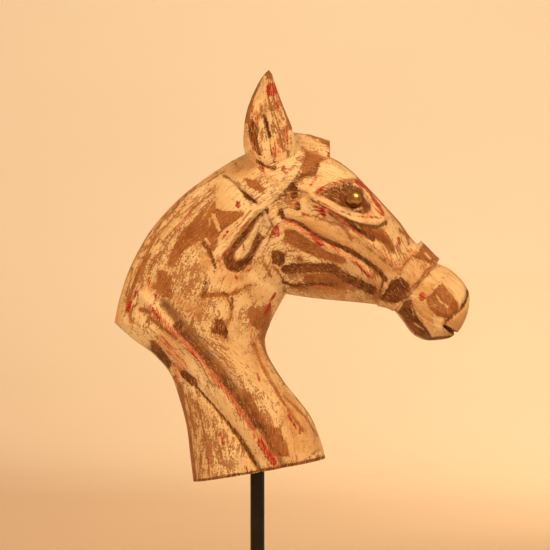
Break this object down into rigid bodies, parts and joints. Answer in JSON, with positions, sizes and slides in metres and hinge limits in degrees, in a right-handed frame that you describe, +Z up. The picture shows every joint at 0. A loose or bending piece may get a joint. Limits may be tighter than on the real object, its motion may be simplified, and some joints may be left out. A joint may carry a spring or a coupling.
{
  "type": "carved wooden horse head sculpture on a stand",
  "caption": "Carved and distress-painted wooden horse head and neck with domed brass nail eyes, held on a round black steel rod and a flat black base plate.",
  "frame": {"origin": "centre of the base plate's underside, straight below the rod's axis", "axes": "+X the way the horse faces, +Z up along the rod, +Y to the horse's left; XZ is the plane of symmetry"},
  "size_m": [0.3007, 0.13, 0.4596],
  "materials": {
    "painted_wood": "brown stained wood under worn, scraped cream paint with red undercoat showing through, matt",
    "eye_brass": "aged polished brass",
    "black_steel": "satin black"
  },
  "bodies": {
    "root": {"horse_head": "painted_wood", "eye_nail_right": "eye_brass", "eye_nail_left": "eye_brass", "support_rod": "black_steel", "base_plate": "black_steel"}
  },
  "joints": []
}
